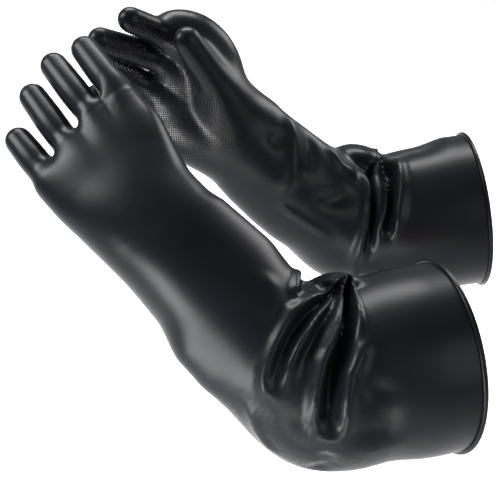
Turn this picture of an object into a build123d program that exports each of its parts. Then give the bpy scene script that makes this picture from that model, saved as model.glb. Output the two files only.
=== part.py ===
"""Pair of long insulating rubber gauntlets, shown as if worn.

Each glove is a black outer ply over an orange inner ply, open inside, from a rolled
bead at the mouth to the fingertips. The plies are divided where the glove bends: at
the elbow, at the wrist and at the root of every finger. Units are millimetres, +Z is
up, and the origin is the centre of the left glove's mouth, with +X out of that mouth.
"""
import os
from math import cos, radians, sin, tan

from build123d import *

os.makedirs("parts", exist_ok=True)

# wall build-up
outer_ply = 1.2
inner_ply = 0.8
ply_gap = 0.05
lining_depth = outer_ply + ply_gap
wall = lining_depth + inner_ply
joint_gap = 0.3

# sleeve
mouth_radius = 83.0
mouth_length = 30.0
bead_radius = 2.2
elbow_start_radius = 76.0
elbow_end_radius = 60.0
elbow_bend_radius = 85.0
elbow_steps = 5
forearm_size = (57.0, 52.0)

# wrist and palm, as half widths and half thicknesses
wrist_size = (51.0, 44.0)
heel_size = (50.0, 37.0)
palm_size = (54.0, 29.0)
knuckle_size = (55.0, 22.5)
web_size = (54.5, 18.5)
wrist_setback = 12.0
heel_distance = 18.0
palm_distance = 52.0
knuckle_distance = 85.0
web_distance = 25.0
knuckle_slant = 8.0

# fingers: place across the hand, first and second length, spread in degrees
finger_radius = 12.4
finger_pitch = 27.5
finger_bend_radius = 26.0
fingers = {
    "index": (1.5, 15.0, 37.0, 4.5),
    "middle": (0.5, 21.0, 41.0, 1.5),
    "ring": (-0.5, 17.0, 37.0, -1.5),
    "little": (-1.5, 11.0, 25.5, -4.0),
}

# thumb: from its root to its tip, measured towards the thumb side, along the hand
# and out of the palm
thumb_radius = 14.0
thumb_root = (30.0, 38.0, 24.0)
thumb_tip = (43.0, 108.0, 44.0)
thumb_split = 36.0

# raised grip on the palm
grip_height = 0.8
grip_width = 84.0
grip_from = 30.0
grip_to = 104.0
grip_corner = 12.0
grip_floor = 4.0


class Glove:
    """The planes of one glove, from its mouth to its knuckles."""

    def __init__(self, name, elbow, cuff, forearm, hand, palm, cuff_length, forearm_length,
                 knuckle_bend, finger_bend, drift, palm_sign):
        self.name = name
        self.elbow = Vector(*elbow)
        self.cuff = Vector(*cuff).normalized()
        self.forearm = Vector(*forearm).normalized()
        self.hand = Vector(*hand).normalized()
        across = self.hand.cross(Vector(*palm)).normalized()
        self.palm = across.cross(self.hand)
        self.palm_sign = palm_sign
        self.thumb_side = across * palm_sign
        self.curl_axis = across
        self.finger_bend = finger_bend
        self.finger_drift = knuckle_slant + drift
        self.bend_axis = self.cuff.cross(self.forearm).normalized()
        self.bend_angle = 180 - self.cuff.get_angle(self.forearm)
        self.tangent = elbow_bend_radius * tan(radians(self.bend_angle / 2))
        self.mouth = self.elbow + self.cuff * cuff_length
        self.cuff_length = cuff_length
        self.wrist = self.elbow + self.forearm * forearm_length
        self.forearm_length = forearm_length
        knuckle_axis = Axis((0, 0, 0), tuple(self.palm))
        leaned = self.hand.rotate(knuckle_axis, knuckle_slant * palm_sign)
        side = self.thumb_side.rotate(knuckle_axis, knuckle_slant * palm_sign)
        self.finger_side = side
        self.finger_way = leaned.rotate(Axis((0, 0, 0), tuple(side)), knuckle_bend * palm_sign)
        knuckles = self.wrist + self.hand * knuckle_distance
        self.web = Plane(origin=knuckles + self.finger_way * web_distance,
                         x_dir=side, z_dir=self.finger_way)

    def cuff_plane(self, depth):
        """Plane across the cuff, that far in from the mouth."""
        return Plane(origin=self.mouth - self.cuff * depth, x_dir=self.bend_axis, z_dir=-self.cuff)

    def elbow_plane(self, share):
        """Plane across the elbow bend, from 0 at its start to 1 at its end."""
        start = self.elbow + self.cuff * self.tangent
        to_centre = (-self.cuff).rotate(Axis((0, 0, 0), tuple(self.bend_axis)), 90)
        if to_centre.dot(self.forearm) < 0:
            to_centre = -to_centre
        centre = start + to_centre * elbow_bend_radius
        turn = self.bend_angle * share
        way = (-self.cuff) * cos(radians(turn)) + to_centre * sin(radians(turn))
        out = self.cuff * 0 - to_centre * cos(radians(turn)) - self.cuff * sin(radians(turn))
        return Plane(origin=centre + out * elbow_bend_radius, x_dir=self.bend_axis, z_dir=way)

    def arm_plane(self, distance):
        """Plane across the forearm, that far from the elbow's corner."""
        across = self.thumb_side - self.forearm * self.thumb_side.dot(self.forearm)
        return Plane(origin=self.elbow + self.forearm * distance, x_dir=across, z_dir=self.forearm)

    def hand_plane(self, distance):
        """Plane across the hand, that far from the wrist."""
        return Plane(origin=self.wrist + self.hand * distance, x_dir=self.thumb_side,
                     z_dir=self.hand)

    def hand_point(self, place):
        """Point of the hand: towards the thumb side, along the hand, out of the palm."""
        sideways, along, out = place
        return self.wrist + self.thumb_side * sideways + self.hand * along + self.palm * out


gloves = [
    Glove("left", elbow=(-123, 0, 0), cuff=(1, 0, 0), forearm=(-0.573, 0.534, 0.621),
          hand=(-0.372, 0.749, 0.548), palm=(0.352, 0.66, -0.664), cuff_length=123,
          forearm_length=190, knuckle_bend=4, finger_bend=9, drift=0, palm_sign=-1),
    Glove("right", elbow=(29.5, 291.5, -30), cuff=(0.973, -0.201, 0.111),
          forearm=(-0.726, 0.083, 0.683), hand=(-0.701, 0.233, 0.674),
          palm=(-0.267, -0.962, 0.055), cuff_length=137, forearm_length=176,
          knuckle_bend=14, finger_bend=18, drift=-16, palm_sign=1),
]


def save(part, name):
    """Label one finished piece and write it."""
    part.label = name
    export_step(part, f"parts/{name}.step")


def make_cuff(glove, name, outside, inside):
    """Straight ring of one ply at the mouth."""
    with BuildPart() as cuff:
        with BuildSketch(glove.cuff_plane(0)):
            Circle(mouth_radius - outside)
            Circle(mouth_radius - inside, mode=Mode.SUBTRACT)
        extrude(amount=mouth_length)
    save(cuff.part, name)


def make_bead(glove, name):
    """Rolled bead round the outside of the mouth."""
    ring = glove.cuff_plane(0)
    section = Plane(origin=ring.origin, x_dir=ring.x_dir, z_dir=ring.y_dir)
    with BuildPart() as bead:
        with BuildSketch(section):
            with Locations((mouth_radius + bead_radius + ply_gap, -bead_radius)):
                Circle(bead_radius)
        revolve(axis=Axis(ring.origin, ring.z_dir))
    save(bead.part, name)


def make_elbow(glove, name, outside, inside):
    """Flared sleeve of one ply from the straight mouth round the elbow bend."""
    stations = [(glove.cuff_plane(mouth_length), mouth_radius)]
    for step in range(elbow_steps + 1):
        share = step / elbow_steps
        radius = elbow_start_radius + (elbow_end_radius - elbow_start_radius) * share
        stations.append((glove.elbow_plane(share), radius))
    with BuildPart() as elbow:
        for depth, mode in ((outside, Mode.ADD), (inside, Mode.SUBTRACT)):
            for plane, radius in stations:
                with BuildSketch(plane):
                    Circle(radius - depth)
            loft(ruled=True, mode=mode)
    save(elbow.part, name)


def make_forearm(glove, name, outside, inside):
    """Forearm tube of one ply, from the elbow's end to the wrist."""
    start = glove.tangent + joint_gap
    end = glove.forearm_length - wrist_setback - joint_gap
    stations = [
        (glove.arm_plane(start), (elbow_end_radius, elbow_end_radius)),
        (glove.arm_plane((start + end) / 2), forearm_size),
        (glove.arm_plane(end), wrist_size),
    ]
    with BuildPart() as forearm:
        for depth, mode in ((outside, Mode.ADD), (inside, Mode.SUBTRACT)):
            for plane, (wide, thick) in stations:
                with BuildSketch(plane):
                    Ellipse(wide - depth, thick - depth)
            loft(ruled=True, mode=mode)
    save(forearm.part, name)


def palm_stations(glove, end_setback):
    """Planes and sizes of the palm from the wrist to the finger roots."""
    return [
        (glove.arm_plane(glove.forearm_length - wrist_setback), wrist_size),
        (glove.hand_plane(heel_distance), heel_size),
        (glove.hand_plane(palm_distance), palm_size),
        (glove.hand_plane(knuckle_distance), knuckle_size),
        (glove.web.offset(-end_setback), web_size),
    ]


def finger_path(glove, place, first, second, spread):
    """Corner points of one finger's centre line in the web plane's own axes."""
    bend = radians(glove.finger_bend)
    side = radians(spread + glove.finger_drift)
    root = (place * finger_pitch, 0, 0)
    middle = (root[0] + first * sin(side), 0, first * cos(side))
    towards_palm = -glove.palm_sign * second * sin(bend)
    tip = (middle[0] + second * cos(bend) * sin(side), towards_palm,
           middle[2] + second * cos(bend) * cos(side))
    return root, middle, tip


def thumb_plane(glove):
    """Plane across the thumb where the stall leaves the palm."""
    root = glove.hand_point(thumb_root)
    way = (glove.hand_point(thumb_tip) - root).normalized()
    return Plane(origin=root + way * thumb_split, x_dir=glove.palm, z_dir=way)


def make_hand(glove, name, outside, inside):
    """Palm of one ply, open at the wrist, at the four finger roots and at the thumb."""
    thumb = thumb_plane(glove)
    with BuildPart() as hand:
        for depth, mode in ((outside, Mode.ADD), (inside, Mode.SUBTRACT)):
            for plane, (wide, thick) in palm_stations(glove, depth):
                with BuildSketch(plane):
                    Ellipse(wide - depth, thick - depth)
            loft(ruled=True, mode=mode)
            if mode == Mode.ADD:
                with BuildSketch(thumb):
                    Circle(thumb_radius - outside)
                extrude(amount=-thumb_split)
        with BuildSketch(thumb):
            Circle(thumb_radius - inside)
        extrude(amount=-thumb_split, mode=Mode.SUBTRACT)
        with BuildSketch(glove.web):
            for place, *_ in fingers.values():
                with Locations((place * finger_pitch, 0)):
                    Circle(finger_radius - inside)
        extrude(amount=-2 * wall, mode=Mode.SUBTRACT)
    save(hand.part, name)


def make_stall(name, plane, points, bend_radius, radius, outside, inside):
    """One hollow finger of one ply, closed by a round tip."""
    root, middle, tip = (plane.from_local_coords(Vector(*point)) for point in points)
    with BuildPart() as stall:
        for depth, mode in ((outside, Mode.ADD), (inside, Mode.SUBTRACT)):
            with BuildLine() as path:
                FilletPolyline(root, middle, tip, radius=bend_radius)
            with BuildSketch(Plane(origin=path.line @ 0, z_dir=path.line % 0)):
                Circle(radius - depth)
            sweep(path=path.line, mode=mode)
            with Locations(path.line @ 1):
                Sphere(radius - depth, mode=mode)
        split(bisect_by=plane.offset(joint_gap), keep=Keep.TOP)
    save(stall.part, name)


def make_grip(glove, name):
    """Raised grip moulded on the palm, round the root of the thumb."""
    with BuildPart() as grip:
        for depth, mode in ((-grip_height - ply_gap, Mode.ADD), (-ply_gap, Mode.SUBTRACT)):
            for plane, (wide, thick) in palm_stations(glove, 0):
                with BuildSketch(plane):
                    Ellipse(wide - depth, thick - depth)
            loft(ruled=True, mode=mode)
        middle = (grip_from + grip_to) / 2
        face = Plane(origin=glove.hand_point((0, middle, grip_floor)), x_dir=glove.hand,
                     z_dir=glove.palm)
        with BuildSketch(face):
            RectangleRounded(grip_to - grip_from, grip_width, grip_corner)
        extrude(amount=palm_size[1] * 2, mode=Mode.INTERSECT)
        with BuildSketch(thumb_plane(glove)):
            Circle(thumb_radius + 1)
        extrude(amount=-thumb_split, mode=Mode.SUBTRACT)
    save(grip.part, name)


plies = {"": (0.0, outer_ply), "_lining": (lining_depth, wall)}

for glove in gloves:
    make_bead(glove, f"{glove.name}_cuff_bead")
    make_grip(glove, f"{glove.name}_palm_grip")
    thumb = thumb_plane(glove)
    thumb_length = (glove.hand_point(thumb_tip) - thumb.origin).length
    for suffix, (outside, inside) in plies.items():
        make_cuff(glove, f"{glove.name}_cuff{suffix}", outside, inside)
        make_elbow(glove, f"{glove.name}_elbow{suffix}", outside, inside)
        make_forearm(glove, f"{glove.name}_forearm{suffix}", outside, inside)
        make_hand(glove, f"{glove.name}_hand{suffix}", outside, inside)
        for finger, (place, first, second, spread) in fingers.items():
            points = finger_path(glove, place, first, second, spread)
            points = (points[0][:2] + (-6.0,),) + points[1:]
            make_stall(f"{glove.name}_{finger}{suffix}", glove.web, points, finger_bend_radius,
                       finger_radius, outside, inside)
        thumb_points = ((0, 0, -4), (0, 0, thumb_length / 2), (-1.5, 0, thumb_length))
        make_stall(f"{glove.name}_thumb{suffix}", thumb, thumb_points, finger_bend_radius,
                   thumb_radius, outside, inside)
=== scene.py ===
import math

import bmesh
import bpy
import numpy as np
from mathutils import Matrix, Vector
from mathutils.bvhtree import BVHTree


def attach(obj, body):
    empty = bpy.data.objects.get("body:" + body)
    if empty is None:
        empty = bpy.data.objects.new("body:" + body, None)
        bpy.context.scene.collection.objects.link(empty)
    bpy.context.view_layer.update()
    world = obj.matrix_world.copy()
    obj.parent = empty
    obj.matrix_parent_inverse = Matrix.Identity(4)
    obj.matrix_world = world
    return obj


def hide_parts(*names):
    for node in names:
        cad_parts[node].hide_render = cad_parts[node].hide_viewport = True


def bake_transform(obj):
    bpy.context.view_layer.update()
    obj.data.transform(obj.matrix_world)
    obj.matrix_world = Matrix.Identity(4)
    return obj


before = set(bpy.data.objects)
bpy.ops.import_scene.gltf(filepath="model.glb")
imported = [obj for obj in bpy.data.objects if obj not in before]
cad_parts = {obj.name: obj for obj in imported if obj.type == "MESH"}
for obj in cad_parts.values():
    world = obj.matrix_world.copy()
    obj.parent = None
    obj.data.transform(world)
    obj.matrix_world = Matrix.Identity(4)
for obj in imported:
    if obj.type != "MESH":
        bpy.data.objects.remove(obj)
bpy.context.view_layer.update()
mm = 0.001

# where each worn glove runs, in millimetres: mouth, elbow, wrist and hand
gloves = {
    "left": {
        "elbow": (-123, 0, 0), "cuff": (1, 0, 0), "forearm": (-0.573, 0.534, 0.621),
        "hand": (-0.372, 0.749, 0.548), "palm": (0.352, 0.66, -0.664),
        "cuffLength": 123, "forearmLength": 190, "knuckleBend": 4, "fingerBend": 9,
        "drift": 0, "palmSign": -1,
        "thumbTip": (40, 108, 44), "thumbFree": ((0.0, 0.52, 0.85), 75.0, 84.0, 26.5),
        "longer": {}, "lean": {}, "closer": 1.0,
        "swellings": [], "bunches": [(112, -8, (44, 24, 14), 14)],
    },
    "right": {
        "elbow": (29.5, 291.5, -30), "cuff": (0.973, -0.201, 0.111),
        "forearm": (-0.726, 0.083, 0.683), "hand": (-0.701, 0.233, 0.674),
        "palm": (-0.267, -0.962, 0.055), "cuffLength": 137, "forearmLength": 176,
        "knuckleBend": 14, "fingerBend": 18, "drift": -16, "palmSign": 1,
        "thumbTip": (53, 111, 44), "thumbFree": ((0.0, 0.3, 0.954), 62.5, 74.0, 27.0),
        "longer": {"middle": 6, "ring": 11, "little": 8},
        "lean": {"index": 10, "middle": 6, "ring": 12, "little": 9}, "closer": 0.87,
        "swellings": [((45, 90, -3), (24, 43, 24), 10, 24), ((49, 102, -3), (17, 30, 15), 10, 24)],
        "bunches": [(148, -28, (34, 32, 16), 16)],
    },
}

# the glove's own size, the same for both hands
gloveSize = {
    "mouthRadius": 83.0, "elbowRadius": 76.0, "armRadius": 60.0, "bendRadius": 85.0,
    "forearm": (57.0, 52.0), "wrist": (52.5, 44.0), "heel": (54.0, 37.0),
    "palm": (59.0, 29.0), "knuckle": (60.0, 20.5), "web": (55.0, 14.0),
    "outward": {"wrist": 1.5, "heel": 3.0, "palm": 4.0, "knuckle": 3.5, "web": 2.0},
    "wristSetback": 12.0, "heelAt": 18.0, "palmAt": 52.0, "knuckleAt": 85.0, "webAt": 25.0,
    "slant": 8.0,
    "grid": 1.7, "ply": 1.2, "lining": 0.8, "gap": 0.05,
}

# each finger: root across the hand and along it, two lengths, spread
fingers = {
    "index": (44.5, 0.0, 16.0, 39.0, -1.2),
    "middle": (15.0, 2.0, 21.0, 41.5, -2.4),
    "ring": (-18.0, -1.0, 18.0, 39.0, -1.6),
    "little": (-49.5, -9.0, 14.5, 26.5, -4.8),
}
fingerShape = {
    "across": [13.0, 13.0, 12.4, 12.3, 13.1, 13.3, 12.9, 12.3],
    "thick": [15, 15, 14.8, 14.2, 13.6, 13.0, 12.6, 12.0],
    "blend": 15.0,
}
thumb = {
    "root": (30, 38, 24), "radius": 14.0, "base": (12, 10, 10),
    "across": [20, 20, 18, 15.5, 14.6, 14.2, 13.4],
    "thick": [20, 20, 18, 15.5, 14.4, 14.0, 13.0], "blend": 20.0,
}

# swellings of the palm: place, half sizes across, along and out, tilt and blend
mounds = [
    ((20, 34, 14), (22, 32, 18), -14, 16),
    ((-27, 36, 8), (22, 38, 19), 4, 14),
]


def unit(v):
    v = np.array(v, float)
    return v / np.linalg.norm(v)


def turn(v, axis, degrees):
    a = math.radians(degrees)
    axis = unit(axis)
    return (v * math.cos(a) + np.cross(axis, v) * math.sin(a)
            + axis * (axis @ v) * (1 - math.cos(a)))


class Worn:
    # directions and planes of one worn glove
    def __init__(self, name):
        g = gloves[name]
        z = gloveSize
        self.name, self.g = name, g
        self.elbow = np.array(g["elbow"], float)
        self.cuff, self.forearm, self.hand = unit(g["cuff"]), unit(g["forearm"]), unit(g["hand"])
        across = unit(np.cross(self.hand, g["palm"]))
        self.palm = np.cross(across, self.hand)
        self.thumbSide = across * g["palmSign"]
        self.bendAxis = unit(np.cross(self.cuff, self.forearm))
        self.bendAngle = math.pi - math.acos(float(self.cuff @ self.forearm))
        self.tangent = z["bendRadius"] * math.tan(self.bendAngle / 2)
        self.mouth = self.elbow + self.cuff * g["cuffLength"]
        self.wrist = self.elbow + self.forearm * g["forearmLength"]
        self.bendStart = self.elbow + self.cuff * self.tangent
        self.bendEnd = self.elbow + self.forearm * self.tangent
        self.inward = unit(self.forearm - self.cuff * (self.forearm @ self.cuff))
        self.centre = self.bendStart + self.inward * z["bendRadius"]
        self.straight = g["cuffLength"] - self.tangent
        self.arc = z["bendRadius"] * self.bendAngle
        leaned = turn(self.hand, self.palm, z["slant"] * g["palmSign"])
        self.side = turn(self.thumbSide, self.palm, z["slant"] * g["palmSign"])
        self.way = turn(leaned, self.side, g["knuckleBend"] * g["palmSign"])
        self.webPalm = np.cross(self.way, self.side) * -g["palmSign"]
        self.web = (self.wrist + self.hand * z["knuckleAt"] + self.way * z["webAt"])

    def thumbLine(self):
        # way out of the palm along which the thumb comes free, and where that starts and ends
        (sideways, along, out), first, last, _ = self.g["thumbFree"]
        way = unit(self.thumbSide * sideways + self.hand * along + self.palm * out)
        return way, self.wrist + way * first, self.wrist + way * last

    def place(self, sideways, along, out):
        return self.wrist + self.thumbSide * sideways + self.hand * along + self.palm * out

    def finger(self, name):
        # root, knuckle and tip centre of one finger
        place, ahead, first, second, spread = fingers[name]
        second += self.g["longer"].get(name, 0)
        a = math.radians(spread + gloveSize["slant"] + self.g["drift"] + self.g["lean"].get(name, 0))
        b = math.radians(self.g["fingerBend"])
        root = self.web + self.side * place * self.g["closer"] + self.way * ahead
        straight = self.side * math.sin(a) + self.way * math.cos(a)
        curled = straight * math.cos(b) + self.webPalm * math.sin(b)
        middle = root + straight * first
        return root, middle, middle + curled * second

    def unroll(self, points):
        # distance from the mouth and angle round the sleeve, 0 on the inside of the bend
        p = np.asarray(points, float)
        before = (self.bendStart - p) @ self.cuff
        after = (p - self.bendEnd) @ self.forearm
        rel = p - self.centre
        u, v = rel @ -self.inward, rel @ -self.cuff
        angle = np.arctan2(v, u)
        s = np.where(before < 0, self.straight + before, self.straight + gloveSize["bendRadius"] * angle)
        s = np.where(after > 0, self.straight + self.arc + after, s)
        bent = np.clip((s - self.straight) / gloveSize["bendRadius"], 0, self.bendAngle)
        toCentre = (np.cos(bent)[:, None] * self.inward + np.sin(bent)[:, None] * self.cuff)
        onArc = self.centre - toCentre * gloveSize["bendRadius"]
        middle = onArc - np.minimum(0, s - self.straight)[:, None] * self.cuff
        middle = middle + np.maximum(0, after)[:, None] * self.forearm
        off = p - middle
        theta = np.degrees(np.arctan2(off @ self.bendAxis, (off * toCentre).sum(1)))
        return s, theta, off / np.linalg.norm(off, axis=1).clip(1e-6)[:, None]

    def roll(self, s, theta, radius=None):
        # point on the sleeve, the way out of it and the way along it
        z = gloveSize
        bent = min(max((s - self.straight) / z["bendRadius"], 0), self.bendAngle)
        toCentre = math.cos(bent) * self.inward + math.sin(bent) * self.cuff
        along = -self.cuff * math.cos(bent) + self.inward * math.sin(bent)
        middle = self.centre - toCentre * z["bendRadius"]
        middle = middle - min(0, s - self.straight) * self.cuff
        middle = middle + max(0, s - self.straight - self.arc) * self.forearm
        share = min(max((s - self.straight) / self.arc, 0), 1)
        radius = radius or z["elbowRadius"] + (z["armRadius"] - z["elbowRadius"]) * share
        a = math.radians(theta)
        out = toCentre * math.cos(a) + self.bendAxis * math.sin(a)
        return middle + out * radius, out, along


def smoothStep(x):
    x = np.clip(x, 0, 1)
    return x * x * (3 - 2 * x)


def ringStations(worn):
    # planes down the whole sleeve and palm: centre, across, way, half width, half thickness
    z, g = gloveSize, worn.g
    stations = []
    for depth in (-14, 0, 12, 30):
        stations.append((worn.mouth - worn.cuff * depth, -worn.cuff, z["mouthRadius"], z["mouthRadius"]))
    for step in range(7):
        share = step / 6
        a = worn.bendAngle * share
        toCentre = worn.inward * math.cos(a) + worn.cuff * math.sin(a)
        way = -worn.cuff * math.cos(a) + worn.inward * math.sin(a)
        radius = z["elbowRadius"] + (z["armRadius"] - z["elbowRadius"]) * share
        stations.append((worn.centre - toCentre * z["bendRadius"], way, radius, radius))
    end = g["forearmLength"] - z["wristSetback"]
    stations.append((worn.elbow + worn.forearm * (worn.tangent + end) / 2, worn.forearm, *z["forearm"]))
    stations.append((worn.elbow + worn.forearm * end, worn.forearm, *z["wrist"]))
    for key in ("heel", "palm", "knuckle"):
        middle = worn.wrist + worn.hand * z[key + "At"] - worn.thumbSide * z["outward"][key]
        stations.append((middle, worn.hand, *z[key]))
    stations.append((worn.web - worn.way * 8 - worn.side * z["outward"]["web"], worn.way, *z["web"]))
    rows = []
    for centre, way, wide, thick in stations:
        side = worn.side if way is worn.way else worn.thumbSide
        across = unit(side - way * (side @ way))
        rows.append(np.concatenate([centre, across, way, [wide, thick]]))
    return np.array(rows)


def splineRows(rows, spacing):
    # rows run through by a smooth curve, spaced evenly
    lengths = np.r_[0, np.cumsum(np.linalg.norm(np.diff(rows[:, :3], axis=0), axis=1))]
    slopes = np.gradient(rows, lengths, axis=0)
    count = int(lengths[-1] / spacing)
    at = np.linspace(0, lengths[-1], count)
    k = np.clip(np.searchsorted(lengths, at, side="right") - 1, 0, len(rows) - 2)
    h = (lengths[k + 1] - lengths[k])[:, None]
    t = ((at - lengths[k]) / h[:, 0])[:, None]
    return ((2 * t**3 - 3 * t**2 + 1) * rows[k] + (t**3 - 2 * t**2 + t) * h * slopes[k]
            + (3 * t**2 - 2 * t**3) * rows[k + 1] + (t**3 - t**2) * h * slopes[k + 1])


def smoothUnion(a, b, room):
    # the nearer of two distances, rounded where they meet
    h = np.clip(1 - np.abs(a - b) / room, 0, 1)
    return np.minimum(a, b) - h * h * room / 4


def limbField(points, corners, across, thick, palm):
    # distance to a finger: its bent line, half width and half thickness from root to tip
    fine = [np.array(c, float) for c in corners]
    fine = np.concatenate([a + (b - a) * np.linspace(0, 1, 12, endpoint=False)[:, None]
                           for a, b in zip(fine[:-1], fine[1:])] + [[fine[-1]]])
    for _ in range(14):
        fine[1:-1] = (fine[:-2] + 2 * fine[1:-1] + fine[2:]) / 4
    lengths = np.r_[0, np.cumsum(np.linalg.norm(np.diff(fine, axis=0), axis=1))]
    nearest = np.full(len(points), 1e9)
    share = np.zeros(len(points))
    off = np.zeros_like(points)
    for k in range(len(fine) - 1):
        way = fine[k + 1] - fine[k]
        u = np.clip((points - fine[k]) @ way / (way @ way), 0, 1)
        rest = points - fine[k] - u[:, None] * way
        d = np.einsum("ij,ij->i", rest, rest)
        near = d < nearest
        nearest[near] = d[near]
        off[near] = rest[near]
        share[near] = (lengths[k] + u[near] * (lengths[k + 1] - lengths[k])) / lengths[-1]
    palm = unit(palm - unit(fine[-1] - fine[0]) * (palm @ unit(fine[-1] - fine[0])))
    wide = np.interp(share, np.linspace(0, 1, len(across)), across)
    deep = np.interp(share, np.linspace(0, 1, len(thick)), thick)
    up = off @ palm
    flat = np.sqrt(np.maximum(0, nearest - up * up))
    size = np.sqrt((flat / wide) ** 2 + (up / deep) ** 2).clip(1e-6)
    return np.sqrt(nearest) * (1 - 1 / size)


def moundField(points, middle, axes, size):
    # distance to a swelling with three half sizes
    rel = [((points - middle) @ axis) / half for axis, half in zip(axes, size)]
    span = np.sqrt(sum(r * r for r in rel)).clip(1e-6)
    return np.linalg.norm(points - middle, axis=1) * (1 - 1 / span)


def tubeField(points, rows, spacing):
    # distance to the sleeve and palm
    nearest = np.full(len(points), 1e9)
    index = np.zeros(len(points), int)
    for k, row in enumerate(rows):
        d = ((points - row[:3]) ** 2).sum(1)
        near = d < nearest
        nearest[near] = d[near]
        index[near] = k
    way = rows[index, 6:9]
    way = way / np.linalg.norm(way, axis=1)[:, None]
    ahead = ((points - rows[index, :3]) * way).sum(1)
    at = np.clip(index + ahead / spacing, 0, len(rows) - 1)
    low = np.minimum(at.astype(int), len(rows) - 2)
    row = rows[low] + (rows[low + 1] - rows[low]) * (at - low)[:, None]
    off = points - row[:, :3]
    way = row[:, 6:9] / np.linalg.norm(row[:, 6:9], axis=1)[:, None]
    across = row[:, 3:6] - way * (row[:, 3:6] * way).sum(1)[:, None]
    across = across / np.linalg.norm(across, axis=1)[:, None]
    u = np.abs((off * across).sum(1)) / row[:, 9]
    v = np.abs((off * np.cross(way, across)).sum(1)) / row[:, 10]
    power = 2 + 0.7 * np.clip(row[:, 9] / row[:, 10] - 1.1, 0, 1)
    size = ((u + 1e-9) ** power + (v + 1e-9) ** power) ** (1 / power)
    d = np.linalg.norm(off - way * (off * way).sum(1)[:, None], axis=1) * (1 - 1 / size.clip(1e-6))
    return d


def gloveField(worn, points):
    # distance to the whole glove, folds and all, below zero inside
    z = gloveSize
    rows = splineRows(ringStations(worn), 3.0)
    spacing = float(np.linalg.norm(np.diff(rows[:, :3], axis=0), axis=1).mean())
    body = tubeField(points, rows, spacing)
    beyond = (points - worn.web) @ (worn.way - worn.side * 0.16) + 7.0
    body = -smoothUnion(-body, -beyond, 10.0)
    s, theta, outward = worn.unroll(points)
    reach = (points - worn.wrist) @ worn.hand
    sleeve = (reach < 10) & (np.abs(body) < 26)
    lift = np.zeros(len(points))
    lift[sleeve] = foldShape(worn, s[sleeve], theta[sleeve], 68.0) * smoothStep(-reach[sleeve] / 20 - 0.2)
    for place, angle, size, room in worn.g["bunches"]:
        middle, out, along = worn.roll(place, angle)
        body = smoothUnion(body, moundField(points, middle, (np.cross(out, along), along, out), size), room)
    body = np.maximum(body - lift, (points - worn.mouth) @ worn.cuff - 8)
    hand = reach > -45
    p = points[hand]
    part = body[hand]
    for place, size, tilt, room in mounds + worn.g["swellings"]:
        along = turn(worn.hand, worn.palm, tilt * worn.g["palmSign"])
        across = turn(worn.thumbSide, worn.palm, tilt * worn.g["palmSign"])
        part = smoothUnion(part, moundField(p, worn.place(*place), (across, along, worn.palm), size), room)
    root, tip = worn.place(*thumb["root"]), worn.place(*worn.g["thumbTip"])
    way = unit(tip - root)
    limb = limbField(p, [worn.place(*thumb["base"]), root + way * 8, root + way * 44, tip],
                     thumb["across"], thumb["thick"], worn.palm)
    part = smoothUnion(part, limb, thumb["blend"])
    limbs = np.full(len(p), 1e9)
    for name in fingers:
        root, middle, tip = worn.finger(name)
        way = unit(middle - root)
        back = worn.wrist + worn.hand * 58 + worn.side * (fingers[name][0] * 0.8)
        limb = limbField(p, [back, root - way * 6, middle, tip],
                         fingerShape["across"], fingerShape["thick"], worn.palm)
        limbs = smoothUnion(limbs, limb, 2.5)
    part = smoothUnion(part, limbs, fingerShape["blend"])
    body[hand] = part
    return body


def surfaceNet(field, origin, step):
    # quad mesh of the zero surface of a grid of distances
    inside = field < 0
    shape = np.array(field.shape) - 1
    quads, places = [], []
    for axis in range(3):
        first = np.moveaxis(field, axis, 0)[:-1]
        second = np.moveaxis(field, axis, 0)[1:]
        crossed = np.argwhere((first < 0) != (second < 0))
        i, j, k = crossed.T
        f0, f1 = first[i, j, k], second[i, j, k]
        spot = crossed.astype(float)
        spot[:, 0] += f0 / (f0 - f1)
        other = [a for a in range(3) if a != axis]
        order = np.empty(3, int)
        order[axis], order[other[0]], order[other[1]] = 0, 1, 2
        cells = []
        for dj, dk in ((-1, -1), (0, -1), (0, 0), (-1, 0)):
            cell = crossed + [0, dj, dk]
            world = cell[:, order]
            cells.append((world[:, 0] * shape[1] + world[:, 1]) * shape[2] + world[:, 2])
        quad = np.stack(cells, 1)
        spot = spot[:, order]
        keep = (f0 < 0) if axis != 1 else (f0 >= 0)
        turned = np.where(keep[:, None], quad, quad[:, ::-1])
        quads.append(turned)
        places.append(spot)
    quads = np.concatenate(quads)
    places = np.repeat(np.concatenate(places), 4, 0)
    used, index = np.unique(quads.ravel(), return_inverse=True)
    number = np.bincount(index)
    points = np.stack([np.bincount(index, places[:, a]) / number for a in range(3)], 1)
    return points * step + origin, index.reshape(-1, 4)


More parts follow.
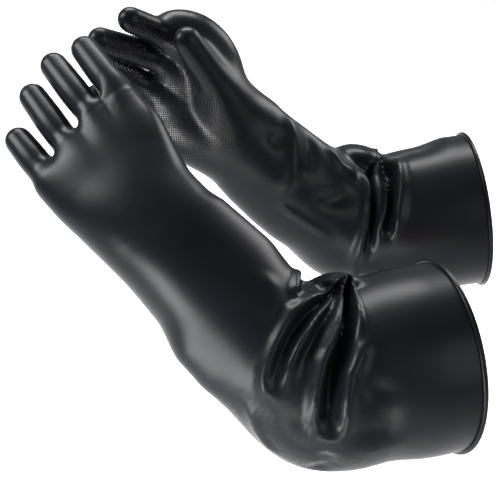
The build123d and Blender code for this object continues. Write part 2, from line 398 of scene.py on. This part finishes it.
def fieldMesh(worn):
    # samples the glove coarsely, then finely near its surface, and meshes it
    step = gloveSize["grid"]
    coarse = step * 4
    rows = ringStations(worn)
    ends = [rows[:, :3]] + [np.array(worn.finger(n)) for n in fingers]
    ends = np.concatenate(ends + [[worn.place(*worn.g["thumbTip"])]])
    room = np.full((len(ends), 1), 26.0)
    room[:len(rows), 0] = rows[:, 9] + 22
    low = (ends - room).min(0)
    count = np.ceil(((ends + room).max(0) - low) / coarse).astype(int)
    axes = [low[a] + np.arange(count[a]) * coarse for a in range(3)]
    rough = np.stack(np.meshgrid(*axes, indexing="ij"), -1).reshape(-1, 3)
    values = np.empty(len(rough))
    for k in range(0, len(rough), 200000):
        values[k:k + 200000] = gloveField(worn, rough[k:k + 200000])
    field = values.reshape(count)
    near = np.abs(field) < coarse
    for axis in range(3):
        near |= (field < 0) != (np.roll(field, 1, axis) < 0)
    grown = near.copy()
    for axis in range(3):
        for shift in (1, -1):
            grown |= np.roll(near, shift, axis)
    fine = np.repeat(np.repeat(np.repeat(field, 4, 0), 4, 1), 4, 2).astype(np.float32)
    cells = np.argwhere(grown)
    inner = np.stack(np.meshgrid(*[np.arange(4)] * 3, indexing="ij"), -1).reshape(-1, 3)
    spots = (cells[:, None, :] * 4 + inner[None]).reshape(-1, 3)
    values = np.empty(len(spots))
    for k in range(0, len(spots), 200000):
        values[k:k + 200000] = gloveField(worn, low + spots[k:k + 200000] * step)
    fine[spots[:, 0], spots[:, 1], spots[:, 2]] = values
    print(worn.name, "field", fine.shape, len(spots), "fine samples")
    return surfaceNet(fine, low, step)


def deselectAll():
    for o in bpy.context.selected_objects:
        o.select_set(False)


def meshObject(name, points, faces):
    mesh = bpy.data.meshes.new(name)
    mesh.from_pydata([tuple(p) for p in np.asarray(points)], [], faces)
    mesh.validate()
    piece = bpy.data.objects.new(name, mesh)
    bpy.context.collection.objects.link(piece)
    return piece


def relax(points, edges, amount, rounds):
    # slides every point towards the middle of its neighbours
    a, b = edges[:, 0], edges[:, 1]
    number = np.bincount(edges.ravel(), minlength=len(points)).clip(1)[:, None]
    amount = np.asarray(amount).reshape(-1, 1) if np.ndim(amount) else amount
    for _ in range(rounds):
        total = np.zeros_like(points)
        for axis in range(3):
            total[:, axis] = (np.bincount(a, points[b, axis], len(points))
                              + np.bincount(b, points[a, axis], len(points)))
        points = points + amount * (total / number - points)
    return points


def pointNormals(points, faces):
    # smooth outward direction at every point of a quad and triangle mesh
    out = np.zeros_like(points)
    for size in (3, 4):
        f = np.array([f for f in faces if len(f) == size])
        if not len(f):
            continue
        n = np.cross(points[f[:, 2]] - points[f[:, 0]], points[f[:, -1]] - points[f[:, 1]])
        for k in range(size):
            for axis in range(3):
                out[:, axis] += np.bincount(f[:, k], n[:, axis], len(points))
    return out / np.linalg.norm(out, axis=1).clip(1e-9)[:, None]


def readMesh(piece):
    mesh = piece.data
    points = np.empty(len(mesh.vertices) * 3)
    mesh.vertices.foreach_get("co", points)
    edges = np.empty(len(mesh.edges) * 2, int)
    mesh.edges.foreach_get("vertices", edges)
    faces = [tuple(p.vertices) for p in mesh.polygons]
    return points.reshape(-1, 3), edges.reshape(-1, 2), faces


# folds of the sleeve: distance from the mouth and angle round it along each line,
# height out of the sleeve and half width, in millimetres
folds = {
    "left": [
        {"line": [(150, 12), (166, 48), (172, 75), (164, 102), (154, 123), (143, 145)],
         "height": 6, "width": 5.5, "fade": 0.15},
        {"line": [(152, 25), (161, 60), (160, 88), (152, 114), (146, 134)], "height": -7, "width": 5,
         "fade": 0.15},
        {"line": [(143, 15), (152, 62), (150, 96), (143, 128)], "height": 5, "width": 4.5, "fade": 0.2},
        {"line": [(136, 35), (142, 72), (140, 112)], "height": -5, "width": 5},
        {"line": [(122, 10), (130, 50), (132, 80)], "height": 5, "width": 9},
        {"line": [(136, 88), (132, 114), (127, 135), (120, 156)], "height": -5.5, "width": 9},
        {"line": [(118, 50), (128, 86), (124, 110), (117, 132), (110, 147)], "height": 6.5, "width": 6},
        {"line": [(99, 0), (110, 45), (115, 72), (118, 95), (116, 114), (110, 142)],
         "height": -19, "width": 6, "fade": 0.12},
        {"line": [(84, 70), (101, 82), (109, 97), (108, 120), (104, 146)], "height": 6.5, "width": 7},
        {"line": [(90, 5), (98, 45), (101, 78)], "height": 5, "width": 8},
        {"line": [(86, 92), (90, 118), (88, 148)], "height": -6, "width": 15},
        {"line": [(110, 146), (105, 162), (108, 180)], "height": -4, "width": 4.5},
        {"line": [(152, 148), (138, 168), (122, 180)], "height": 2.2, "width": 4.5},
        {"line": [(188, 10), (187, 38), (181, 58), (170, 66)], "height": 4.5, "width": 4.5},
        {"line": [(177, 5), (179, 28), (174, 48)], "height": -5, "width": 5},
        {"line": [(210, 60), (188, 82), (180, 100)], "height": 2.5, "width": 11},
        {"line": [(245, 178), (195, 178), (140, 178)], "height": 10, "width": 28, "fade": 0.4},
        {"line": [(305, 25), (250, 25), (195, 20)], "height": 3, "width": 26, "fade": 0.3},
    ],
    "right": [
        {"line": [(290, -10), (278, 22), (262, 50), (251, 72), (246, 104)], "height": 4, "width": 8},
        {"line": [(280, 60), (300, 30)], "height": -3.5, "width": 12, "fade": 0.5},
        {"line": [(262, 0), (246, 34), (232, 60)], "height": -4, "width": 9, "fade": 0.4},
        {"line": [(236, 5), (208, 22), (180, 16)], "height": 4, "width": 8},
        {"line": [(184, 0), (163, 38), (150, 58), (144, 82), (138, 108), (130, 128)], "height": 6, "width": 6.5},
        {"line": [(168, -12), (155, 28), (142, 52), (136, 72), (128, 96)], "height": -12, "width": 6},
        {"line": [(135, -30), (119, 18), (123, 46), (129, 70)], "height": 8, "width": 6},
        {"line": [(104, -34), (96, 12), (105, 44), (118, 72)], "height": -13, "width": 7, "fade": 0.16},
        {"line": [(82, -16), (86, 28), (96, 52), (110, 74)], "height": 6, "width": 8},
        {"line": [(184, 34), (196, 57), (218, 78)], "height": -6, "width": 11, "fade": 0.4},
        {"line": [(252, 106), (203, 98), (165, 92)], "height": 2.2, "width": 6},
        {"line": [(136, 98), (131, 124)], "height": 3, "width": 5, "fade": 0.5},
        {"line": [(310, -35), (240, -20), (195, -20)], "height": -4.5, "width": 28, "fade": 0.3},
        {"line": [(310, 150), (240, 150), (165, 152)], "height": 5, "width": 30, "fade": 0.3},
        {"line": [(115, -20), (22, -26)], "height": -8, "width": 26, "fade": 0.35},
    ],
}

# the point of the elbow: how far it stands out, where, and half its length
elbowPoint = {"left": (13, 114, 33), "right": (4, 146, 26)}


def foldShape(worn, s, theta, radius):
    # how far the folds lift or press each point of the sleeve
    lift = np.zeros(len(s))
    scale = math.radians(1) * radius
    for line in folds[worn.name]:
        path = np.array(line["line"], float)
        width = line["width"]
        mine = (s > path[:, 0].min() - width * 2.5) & (s < path[:, 0].max() + width * 2.5)
        mine = np.flatnonzero(mine)
        around = (theta[mine] - path[0, 1] + 180) % 360 - 180 + path[0, 1]
        closest = np.full(len(mine), 1e9)
        share = np.zeros(len(mine))
        lengths = np.r_[0, np.cumsum(np.hypot(np.diff(path[:, 0]), np.diff(path[:, 1]) * scale))]
        for k in range(len(path) - 1):
            du, dv = path[k + 1, 0] - path[k, 0], (path[k + 1, 1] - path[k, 1]) * scale
            u, v = s[mine] - path[k, 0], (around - path[k, 1]) * scale
            along = (u * du + v * dv) / (du * du + dv * dv)
            t = np.clip(along, 0, 1)
            d = np.hypot(u - t * du, v - t * dv)
            near = d < closest
            closest = np.where(near, d, closest)
            share = np.where(near, lengths[k] + t * (lengths[k + 1] - lengths[k]), share)
        run = line.get("fade", 0.3) * lengths[-1]
        ends = smoothStep(np.minimum(share, lengths[-1] - share) / run)
        lift[mine] += line["height"] * ends * np.exp(-(closest / width) ** 2)
    height, place, half = elbowPoint[worn.name]
    lift += height * np.exp(-((s - place) / half) ** 2) * np.maximum(0, -np.cos(np.radians(theta)))
    return lift


def gloveSkin(worn):
    # whole outer skin of one glove as one smooth mesh, open at the mouth
    points, quads = fieldMesh(worn)
    whole = meshObject("whole", points, [tuple(q) for q in quads.tolist()])
    points, edges, faces = readMesh(whole)
    for _ in range(5):
        points = relax(points, edges, 0.5, 1)
        points = relax(points, edges, -0.5, 1)
    points = relax(points, edges, 0.3, 1)
    whole.data.vertices.foreach_set("co", points.ravel())
    bm = bmesh.new()
    bm.from_mesh(whole.data)
    bmesh.ops.bisect_plane(bm, geom=bm.verts[:] + bm.edges[:] + bm.faces[:], plane_co=Vector(worn.mouth),
                           plane_no=Vector(worn.cuff), clear_outer=True, dist=0.05)
    bmesh.ops.remove_doubles(bm, verts=bm.verts, dist=0.08)
    bm.to_mesh(whole.data)
    bm.free()
    points, edges, faces = readMesh(whole)
    bpy.data.objects.remove(whole)
    return points, edges, faces


def roomUnder(worn, points, normals, edges):
    # share of the full depth that fits under each point where the skin bends sharply
    s, theta, outward = worn.unroll(points)
    upright = (outward * normals).sum(1)
    sleeve = smoothStep(-((points - worn.wrist) @ worn.hand + 20) / 20)
    wall = 1 - sleeve * (1 - (0.15 + 0.85 * smoothStep((upright - 0.45) / 0.45)))
    a, b = edges[:, 0], edges[:, 1]
    number = np.bincount(edges.ravel(), minlength=len(points)).clip(1)
    lean = ((points[b] - points[a]) * normals[a]).sum(1), ((points[a] - points[b]) * normals[b]).sum(1)
    span = ((points[b] - points[a]) ** 2).sum(1)
    drop = (np.bincount(a, lean[0], len(points)) + np.bincount(b, lean[1], len(points))) / number
    reach = (np.bincount(a, span, len(points)) + np.bincount(b, span, len(points))) / number
    curve = np.maximum(0, -drop * 4 / reach.clip(0.1))
    room = np.minimum(np.clip(0.5 / (curve * 2.05).clip(1e-3), 0.06, 1), wall)
    for _ in range(6):
        lowest = room.copy()
        np.minimum.at(lowest, a, room[b])
        np.minimum.at(lowest, b, room[a])
        room = 0.5 * room + 0.5 * lowest
    return relax(room[:, None].repeat(3, 1), edges, 0.5, 3)[:, :1]


def shellPiece(name, points, normals, room, faces, outside, inside):
    # one ply of rubber as a closed shell between two depths under the skin
    used = np.unique(np.concatenate([np.array(f) for f in faces]))
    index = {v: i for i, v in enumerate(used)}
    outer = points[used] - normals[used] * room[used] * outside
    inner = points[used] - normals[used] * room[used] * inside
    count = len(used)
    shell = [tuple(index[v] for v in f) for f in faces]
    edgeUse = {}
    for f in shell:
        for a, b in zip(f, f[1:] + f[:1]):
            edgeUse[(a, b)] = True
    rim = [(a, b) for a, b in edgeUse if (b, a) not in edgeUse]
    allFaces = shell + [tuple(v + count for v in reversed(f)) for f in shell]
    allFaces += [(b, a, a + count, b + count) for a, b in rim]
    allPoints = np.concatenate([outer, inner]) * mm
    piece = meshObject(name, allPoints, allFaces)
    mesh = piece.data
    mesh.shade_smooth()
    loopNormals = []
    n = np.concatenate([normals[used], -normals[used]])
    for i, f in enumerate(allFaces):
        for v in f:
            loopNormals.append(tuple(n[v]) if i < 2 * len(shell) else (0, 0, 0))
    mesh.normals_split_custom_set(loopNormals)
    return piece


def dress(piece, material):
    # gives a piece its one material and its slot
    piece.data.materials.clear()
    piece.data.materials.append(material)


# satin black rubber, the same with more tooth on the grip, and the orange inner ply
finishes = {
    "outerRubber": {"colour": (0.003, 0.0036, 0.005), "rough": 0.34, "bump": 0.1, "shine": 0.1},
    "gripRubber": {"colour": (0.003, 0.0033, 0.004), "rough": 0.27, "bump": 0.05, "shine": 0.3},
    "beadRubber": {"colour": (0.002, 0.0022, 0.0027), "rough": 0.33, "bump": 0.08, "shine": 0.1},
    "innerRubber": {"colour": (0.83, 0.17, 0.02), "rough": 0.5, "bump": 0.15, "shine": 0.4},
}


def rubberMaterial(name):
    # cloudy tone and sheen with a fine grain, all from object coordinates
    look = finishes[name]
    material = bpy.data.materials.new(name)
    material.use_nodes = True
    nodes, links = material.node_tree.nodes, material.node_tree.links
    shader = nodes["Principled BSDF"]
    coords = nodes.new("ShaderNodeTexCoord")
    cloud = nodes.new("ShaderNodeTexNoise")
    cloud.inputs["Scale"].default_value = 14
    cloud.inputs["Detail"].default_value = 4
    links.new(coords.outputs["Object"], cloud.inputs["Vector"])
    tone = nodes.new("ShaderNodeValToRGB")
    dark = [c * 0.82 for c in look["colour"]] + [1]
    light = [min(1, c * 1.2) for c in look["colour"]] + [1]
    tone.color_ramp.elements[0].color = dark
    tone.color_ramp.elements[0].position = 0.3
    tone.color_ramp.elements[1].color = light
    tone.color_ramp.elements[1].position = 0.7
    links.new(cloud.outputs["Fac"], tone.inputs["Fac"])
    links.new(tone.outputs["Color"], shader.inputs["Base Color"])
    rough = nodes.new("ShaderNodeMapRange")
    rough.inputs["To Min"].default_value = look["rough"] - 0.05
    rough.inputs["To Max"].default_value = look["rough"] + 0.05
    links.new(cloud.outputs["Fac"], rough.inputs["Value"])
    links.new(rough.outputs["Result"], shader.inputs["Roughness"])
    grain = nodes.new("ShaderNodeTexNoise")
    grain.inputs["Scale"].default_value = 900
    grain.inputs["Detail"].default_value = 3
    links.new(coords.outputs["Object"], grain.inputs["Vector"])
    bump = nodes.new("ShaderNodeBump")
    bump.inputs["Strength"].default_value = look["bump"]
    bump.inputs["Distance"].default_value = 0.0004
    links.new(grain.outputs["Fac"], bump.inputs["Height"])
    links.new(bump.outputs["Normal"], shader.inputs["Normal"])
    shader.inputs["IOR"].default_value = 1.5
    shader.inputs["Specular IOR Level"].default_value = look["shine"]
    return material


materials = {name: rubberMaterial(name) for name in finishes}


def facesOf(points, faces, worn):
    # shares the faces of the skin between the sleeve, the arm and palm, and each finger
    centres = np.array([points[list(f)].mean(0) for f in faces])
    sleeveEnd = worn.elbow + worn.forearm * (worn.g["forearmLength"] * 0.62)
    owner = np.where((centres - sleeveEnd) @ worn.forearm > 0, 1, 0)
    best = np.full(len(faces), 1e9)
    for k, name in enumerate(fingers):
        root, middle, tip = worn.finger(name)
        way = unit(middle - root)
        rel = centres - root
        u = rel @ way
        off = np.linalg.norm(rel - np.outer(u, way), axis=1)
        far = centres - middle
        bent = unit(tip - middle)
        w = far @ bent
        off = np.where(w > 0, np.linalg.norm(far - np.outer(w, bent), axis=1), off)
        mine = (u > 0) & (off < best)
        owner = np.where(mine & (u > 0), k + 2, owner)
        best = np.where(mine, off, best)
    root, tip = worn.place(*thumb["root"]), worn.place(*worn.g["thumbTip"])
    way = unit(tip - root)
    rel = centres - root
    u = rel @ way
    off = np.linalg.norm(rel - np.outer(u, way), axis=1)
    free, start, end = worn.thumbLine()
    lifted = ((centres - start) @ free > -1.5) & ((centres - worn.wrist) @ worn.palm > worn.g["thumbFree"][3])
    lifted &= (centres - worn.wrist) @ worn.hand > 5
    owner = np.where(lifted & ((owner == 1) | (off < best)), 6, owner)
    return owner


def buildGlove(name):
    # each part of the skin as a closed black shell over a closed orange one
    worn = Worn(name)
    z = gloveSize
    points, edges, faces = gloveSkin(worn)
    normals = pointNormals(points, faces)
    room = roomUnder(worn, points, normals, edges)
    owner = facesOf(points, faces, worn)
    print(name, "skin", len(faces), "faces", [int((owner == k).sum()) for k in range(7)])
    depths = {"": (0.0, z["ply"], "outerRubber", "outer_rubber"),
              "Lining": (z["ply"] + z["gap"], z["ply"] + z["gap"] + z["lining"], "innerRubber", "inner_rubber")}
    order = list(fingers) + ["thumb"]
    for suffix, (outside, inside, finish, slot) in depths.items():
        tail = "_lining" if suffix else ""
        for k in range(7):
            part = "Sleeve" if k == 0 else "ArmAndPalm" if k == 1 else order[k - 2].capitalize()
            mine = [f for f, o in zip(faces, owner) if o == k]
            piece = shellPiece(f"{name}{part}{suffix}", points, normals, room, mine, outside, inside)
            dress(piece, materials[finish])
            if k == 0:
                start, end = worn.bendStart, worn.bendEnd + worn.forearm * 20
                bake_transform(piece)
                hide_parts(f"{name}_cuff{tail}", f"{name}_elbow{tail}")
            elif k == 1:
                start = worn.wrist - worn.forearm * 38
                end = worn.wrist + worn.hand * 14
                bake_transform(piece)
                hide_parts(f"{name}_forearm{tail}", f"{name}_hand{tail}")
            else:
                finger = order[k - 2]
                if finger == "thumb":
                    free, start, end = worn.thumbLine()
                else:
                    root, middle, tip = worn.finger(finger)
                    way = unit(middle - root)
                    start, end = root + way * 3, root + way * 18
                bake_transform(piece)
                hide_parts(f"{name}_{finger}{tail}")
    return worn, points, faces, normals


def buildBead(worn):
    # rolled edge outside the mouth
    radius, tube = gloveSize["mouthRadius"] + 0.6, 2.3
    rings = []
    for k in range(180):
        a = 2 * math.pi * k / 180
        out = worn.inward * math.cos(a) + worn.bendAxis * math.sin(a)
        centre = worn.mouth - worn.cuff * tube * 0.9 + out * radius
        ring = [centre + (out * math.cos(b) + worn.cuff * math.sin(b)) * tube
                for b in np.linspace(0, 2 * math.pi, 17)[:-1]]
        rings.append(ring)
    points = np.array(rings).reshape(-1, 3) * mm
    faces = []
    for k in range(180):
        n = (k + 1) % 180
        for j in range(16):
            m = (j + 1) % 16
            faces.append((k * 16 + j, n * 16 + j, n * 16 + m, k * 16 + m))
    piece = meshObject(f"{worn.name}CuffBead", points, faces)
    bm = bmesh.new()
    bm.from_mesh(piece.data)
    bmesh.ops.recalc_face_normals(bm, faces=bm.faces)
    bm.to_mesh(piece.data)
    bm.free()
    piece.data.shade_smooth()
    dress(piece, materials["beadRubber"])
    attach(piece, f"{worn.name}_sleeve")
    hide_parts(f"{worn.name}_cuff_bead")


# the raised diamonds of the grip, in millimetres
grip = {
    "step": 3.2, "half": 1.35, "height": 0.7, "palm": ((-60, 52), (0, 116)), "fingerAngle": 66,
    "thumbEdge": (-2, 0.62), "heelEdge": (32, 0.76),
}


def studMesh(spots, across):
    # small flat-topped diamonds standing on the given spots
    points, faces = [], []
    for spot, normal in spots:
        a = unit(across - normal * (across @ normal))
        b = np.cross(normal, a)
        base = len(points)
        for size, level in ((grip["half"], -0.35), (grip["half"] * 0.5, grip["height"])):
            for u, v in ((1, 0), (0, 1), (-1, 0), (0, -1)):
                points.append((spot + normal * level + (a * u + b * v) * size) * mm)
        faces.append((base + 3, base + 2, base + 1, base))
        faces.append((base + 4, base + 5, base + 6, base + 7))
        for k in range(4):
            n = (k + 1) % 4
            faces.append((base + k, base + n, base + 4 + n, base + 4 + k))
    return points, faces


def buildGrip(worn, points, faces, normals):
    # raised diamonds set on the palm and on the inside of each finger
    tree = BVHTree.FromPolygons([tuple(p) for p in points], faces)
    root, tip = worn.place(*thumb["root"]), worn.place(*worn.g["thumbTip"])
    thumbWay = unit(tip - root)

    def surface(start, way):
        spot, normal, face, distance = tree.ray_cast(Vector(start), Vector(way))
        return (None, None) if spot is None else (np.array(spot), unit(normal))

    def nearThumb(p, room):
        u = (p - root) @ thumbWay
        return u > 2 and np.linalg.norm(p - root - thumbWay * u) < thumb["radius"] + room

    spots = []
    (x0, x1), (y0, y1) = grip["palm"]
    row = 0
    y = y0
    while y < y1:
        x = x0 + (row % 2) * grip["step"] / 2
        while x < x1:
            spot, normal = surface(worn.place(x, y, 90), -worn.palm)
            onPalm = spot is not None and (spot - worn.web) @ worn.way < -1
            if onPalm and nearThumb(spot, 2.5):
                spot, normal = None, None
            if onPalm and spot is not None:
                if normal @ worn.palm < 0:
                    normal = -normal
                inHand = x < grip["thumbEdge"][0] + (y - 2) * grip["thumbEdge"][1]
                aboveHeel = y > grip["heelEdge"][0] - (x + 42) * grip["heelEdge"][1]
                if normal @ worn.palm > 0.4 and inHand and aboveHeel:
                    spots.append((spot, normal))
            x += grip["step"]
        y += grip["step"] / 2
        row += 1
    studs, studFaces = studMesh(spots, worn.thumbSide)
    piece = meshObject(f"{worn.name}PalmGrip", studs, studFaces)
    dress(piece, materials["gripRubber"])
    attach(piece, f"{worn.name}_palm")
    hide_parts(f"{worn.name}_palm_grip")
    for name in fingers:
        base, middle, end = worn.finger(name)
        way, bent = unit(middle - base), unit(end - middle)
        first, second = np.linalg.norm(middle - base), np.linalg.norm(end - middle)
        spots = []
        row = 0
        u = 1.0
        while u < first + second + 3:
            centre = base + way * u if u < first else middle + bent * (u - first)
            along = way if u < first else bent
            up = unit(worn.webPalm - along * (worn.webPalm @ along))
            side = np.cross(along, up)
            angle = -grip["fingerAngle"] + (row % 2) * 7.0
            while angle <= grip["fingerAngle"]:
                a = math.radians(angle)
                spot, normal = surface(centre, up * math.cos(a) + side * math.sin(a))
                if spot is not None and np.linalg.norm(spot - centre) < 20:
                    if normal @ (spot - centre) < 0:
                        normal = -normal
                    spots.append((spot, normal))
                angle += 14.0
            u += grip["step"] / 2
            row += 1
        studs, studFaces = studMesh(spots, worn.side)
        piece = meshObject(f"{worn.name}{name.capitalize()}Grip", studs, studFaces)
        dress(piece, materials["gripRubber"])
        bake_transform(piece)


for name in gloves:
    worn, points, faces, normals = buildGlove(name)
    buildBead(worn)
    buildGrip(worn, points, faces, normals)
    print(name, "glove made")

# floor, light and camera
stage = {
    "target": (-140.2, 122.0, 68.5), "back": (-0.2489, -0.8295, 0.5), "distance": 1000.0,
    "lens": 80.6, "floor": -0.4,
}


def buildFloor():
    deselectAll()
    bpy.ops.mesh.primitive_plane_add(size=12, location=(0, 0, stage["floor"]))
    floor = bpy.context.view_layer.objects.active
    floor.name = "floor"
    material = bpy.data.materials.new("floorWhite")
    material.use_nodes = True
    shader = material.node_tree.nodes["Principled BSDF"]
    shader.inputs["Base Color"].default_value = (0.85, 0.85, 0.85, 1)
    shader.inputs["Roughness"].default_value = 0.9
    floor.data.materials.append(material)


def buildCamera():
    camera = bpy.data.cameras.new("camera")
    camera.lens = stage["lens"]
    camera.sensor_width = 36
    camera.clip_end = 50
    eye = bpy.data.objects.new("camera", camera)
    bpy.context.collection.objects.link(eye)
    back = unit(stage["back"])
    target = np.array(stage["target"])
    eye.location = Vector((target + back * stage["distance"]) * mm)
    eye.rotation_euler = Vector(-back).to_track_quat("-Z", "Y").to_euler()
    bpy.context.scene.camera = eye


def areaLight(name, place, aim, size, power):
    light = bpy.data.lights.new(name, "AREA")
    light.shape = "RECTANGLE"
    light.size, light.size_y = size
    light.energy = power
    lamp = bpy.data.objects.new(name, light)
    bpy.context.collection.objects.link(lamp)
    lamp.location = place
    lamp.rotation_euler = (Vector(aim) - Vector(place)).to_track_quat("-Z", "Y").to_euler()


buildFloor()
buildCamera()
print("floor and camera set")
areaLight("lowLight", (-0.95, -0.34, -0.12), (-0.17, 0.08, 0.08), (0.3, 0.4), 16)
areaLight("frontLight", (-0.35, -0.55, -0.24), (-0.15, 0.3, 0.15), (0.4, 0.3), 4)
areaLight("rightLight", (1.3, 0.9, 0.75), (-0.1, 0.1, 0.05), (0.8, 0.8), 22)
areaLight("leftLight", (-1.5, 0.7, 1.1), (-0.1, 0.1, 0.05), (0.5, 0.8), 42)
areaLight("topLight", (0.1, 1.5, 1.8), (-0.1, 0.1, 0.05), (1.6, 0.7), 85)
areaLight("fillLight", (1.1, -1.6, 0.9), (-0.1, 0.1, 0.05), (1.6, 1.6), 24)
print("lights set")
world = bpy.data.worlds.new("studio")
world.use_nodes = True
world.node_tree.nodes["Background"].inputs["Color"].default_value = (1, 1, 1, 1)
world.node_tree.nodes["Background"].inputs["Strength"].default_value = 0.3
bpy.context.scene.world = world
bpy.context.scene.view_settings.view_transform = "Standard"
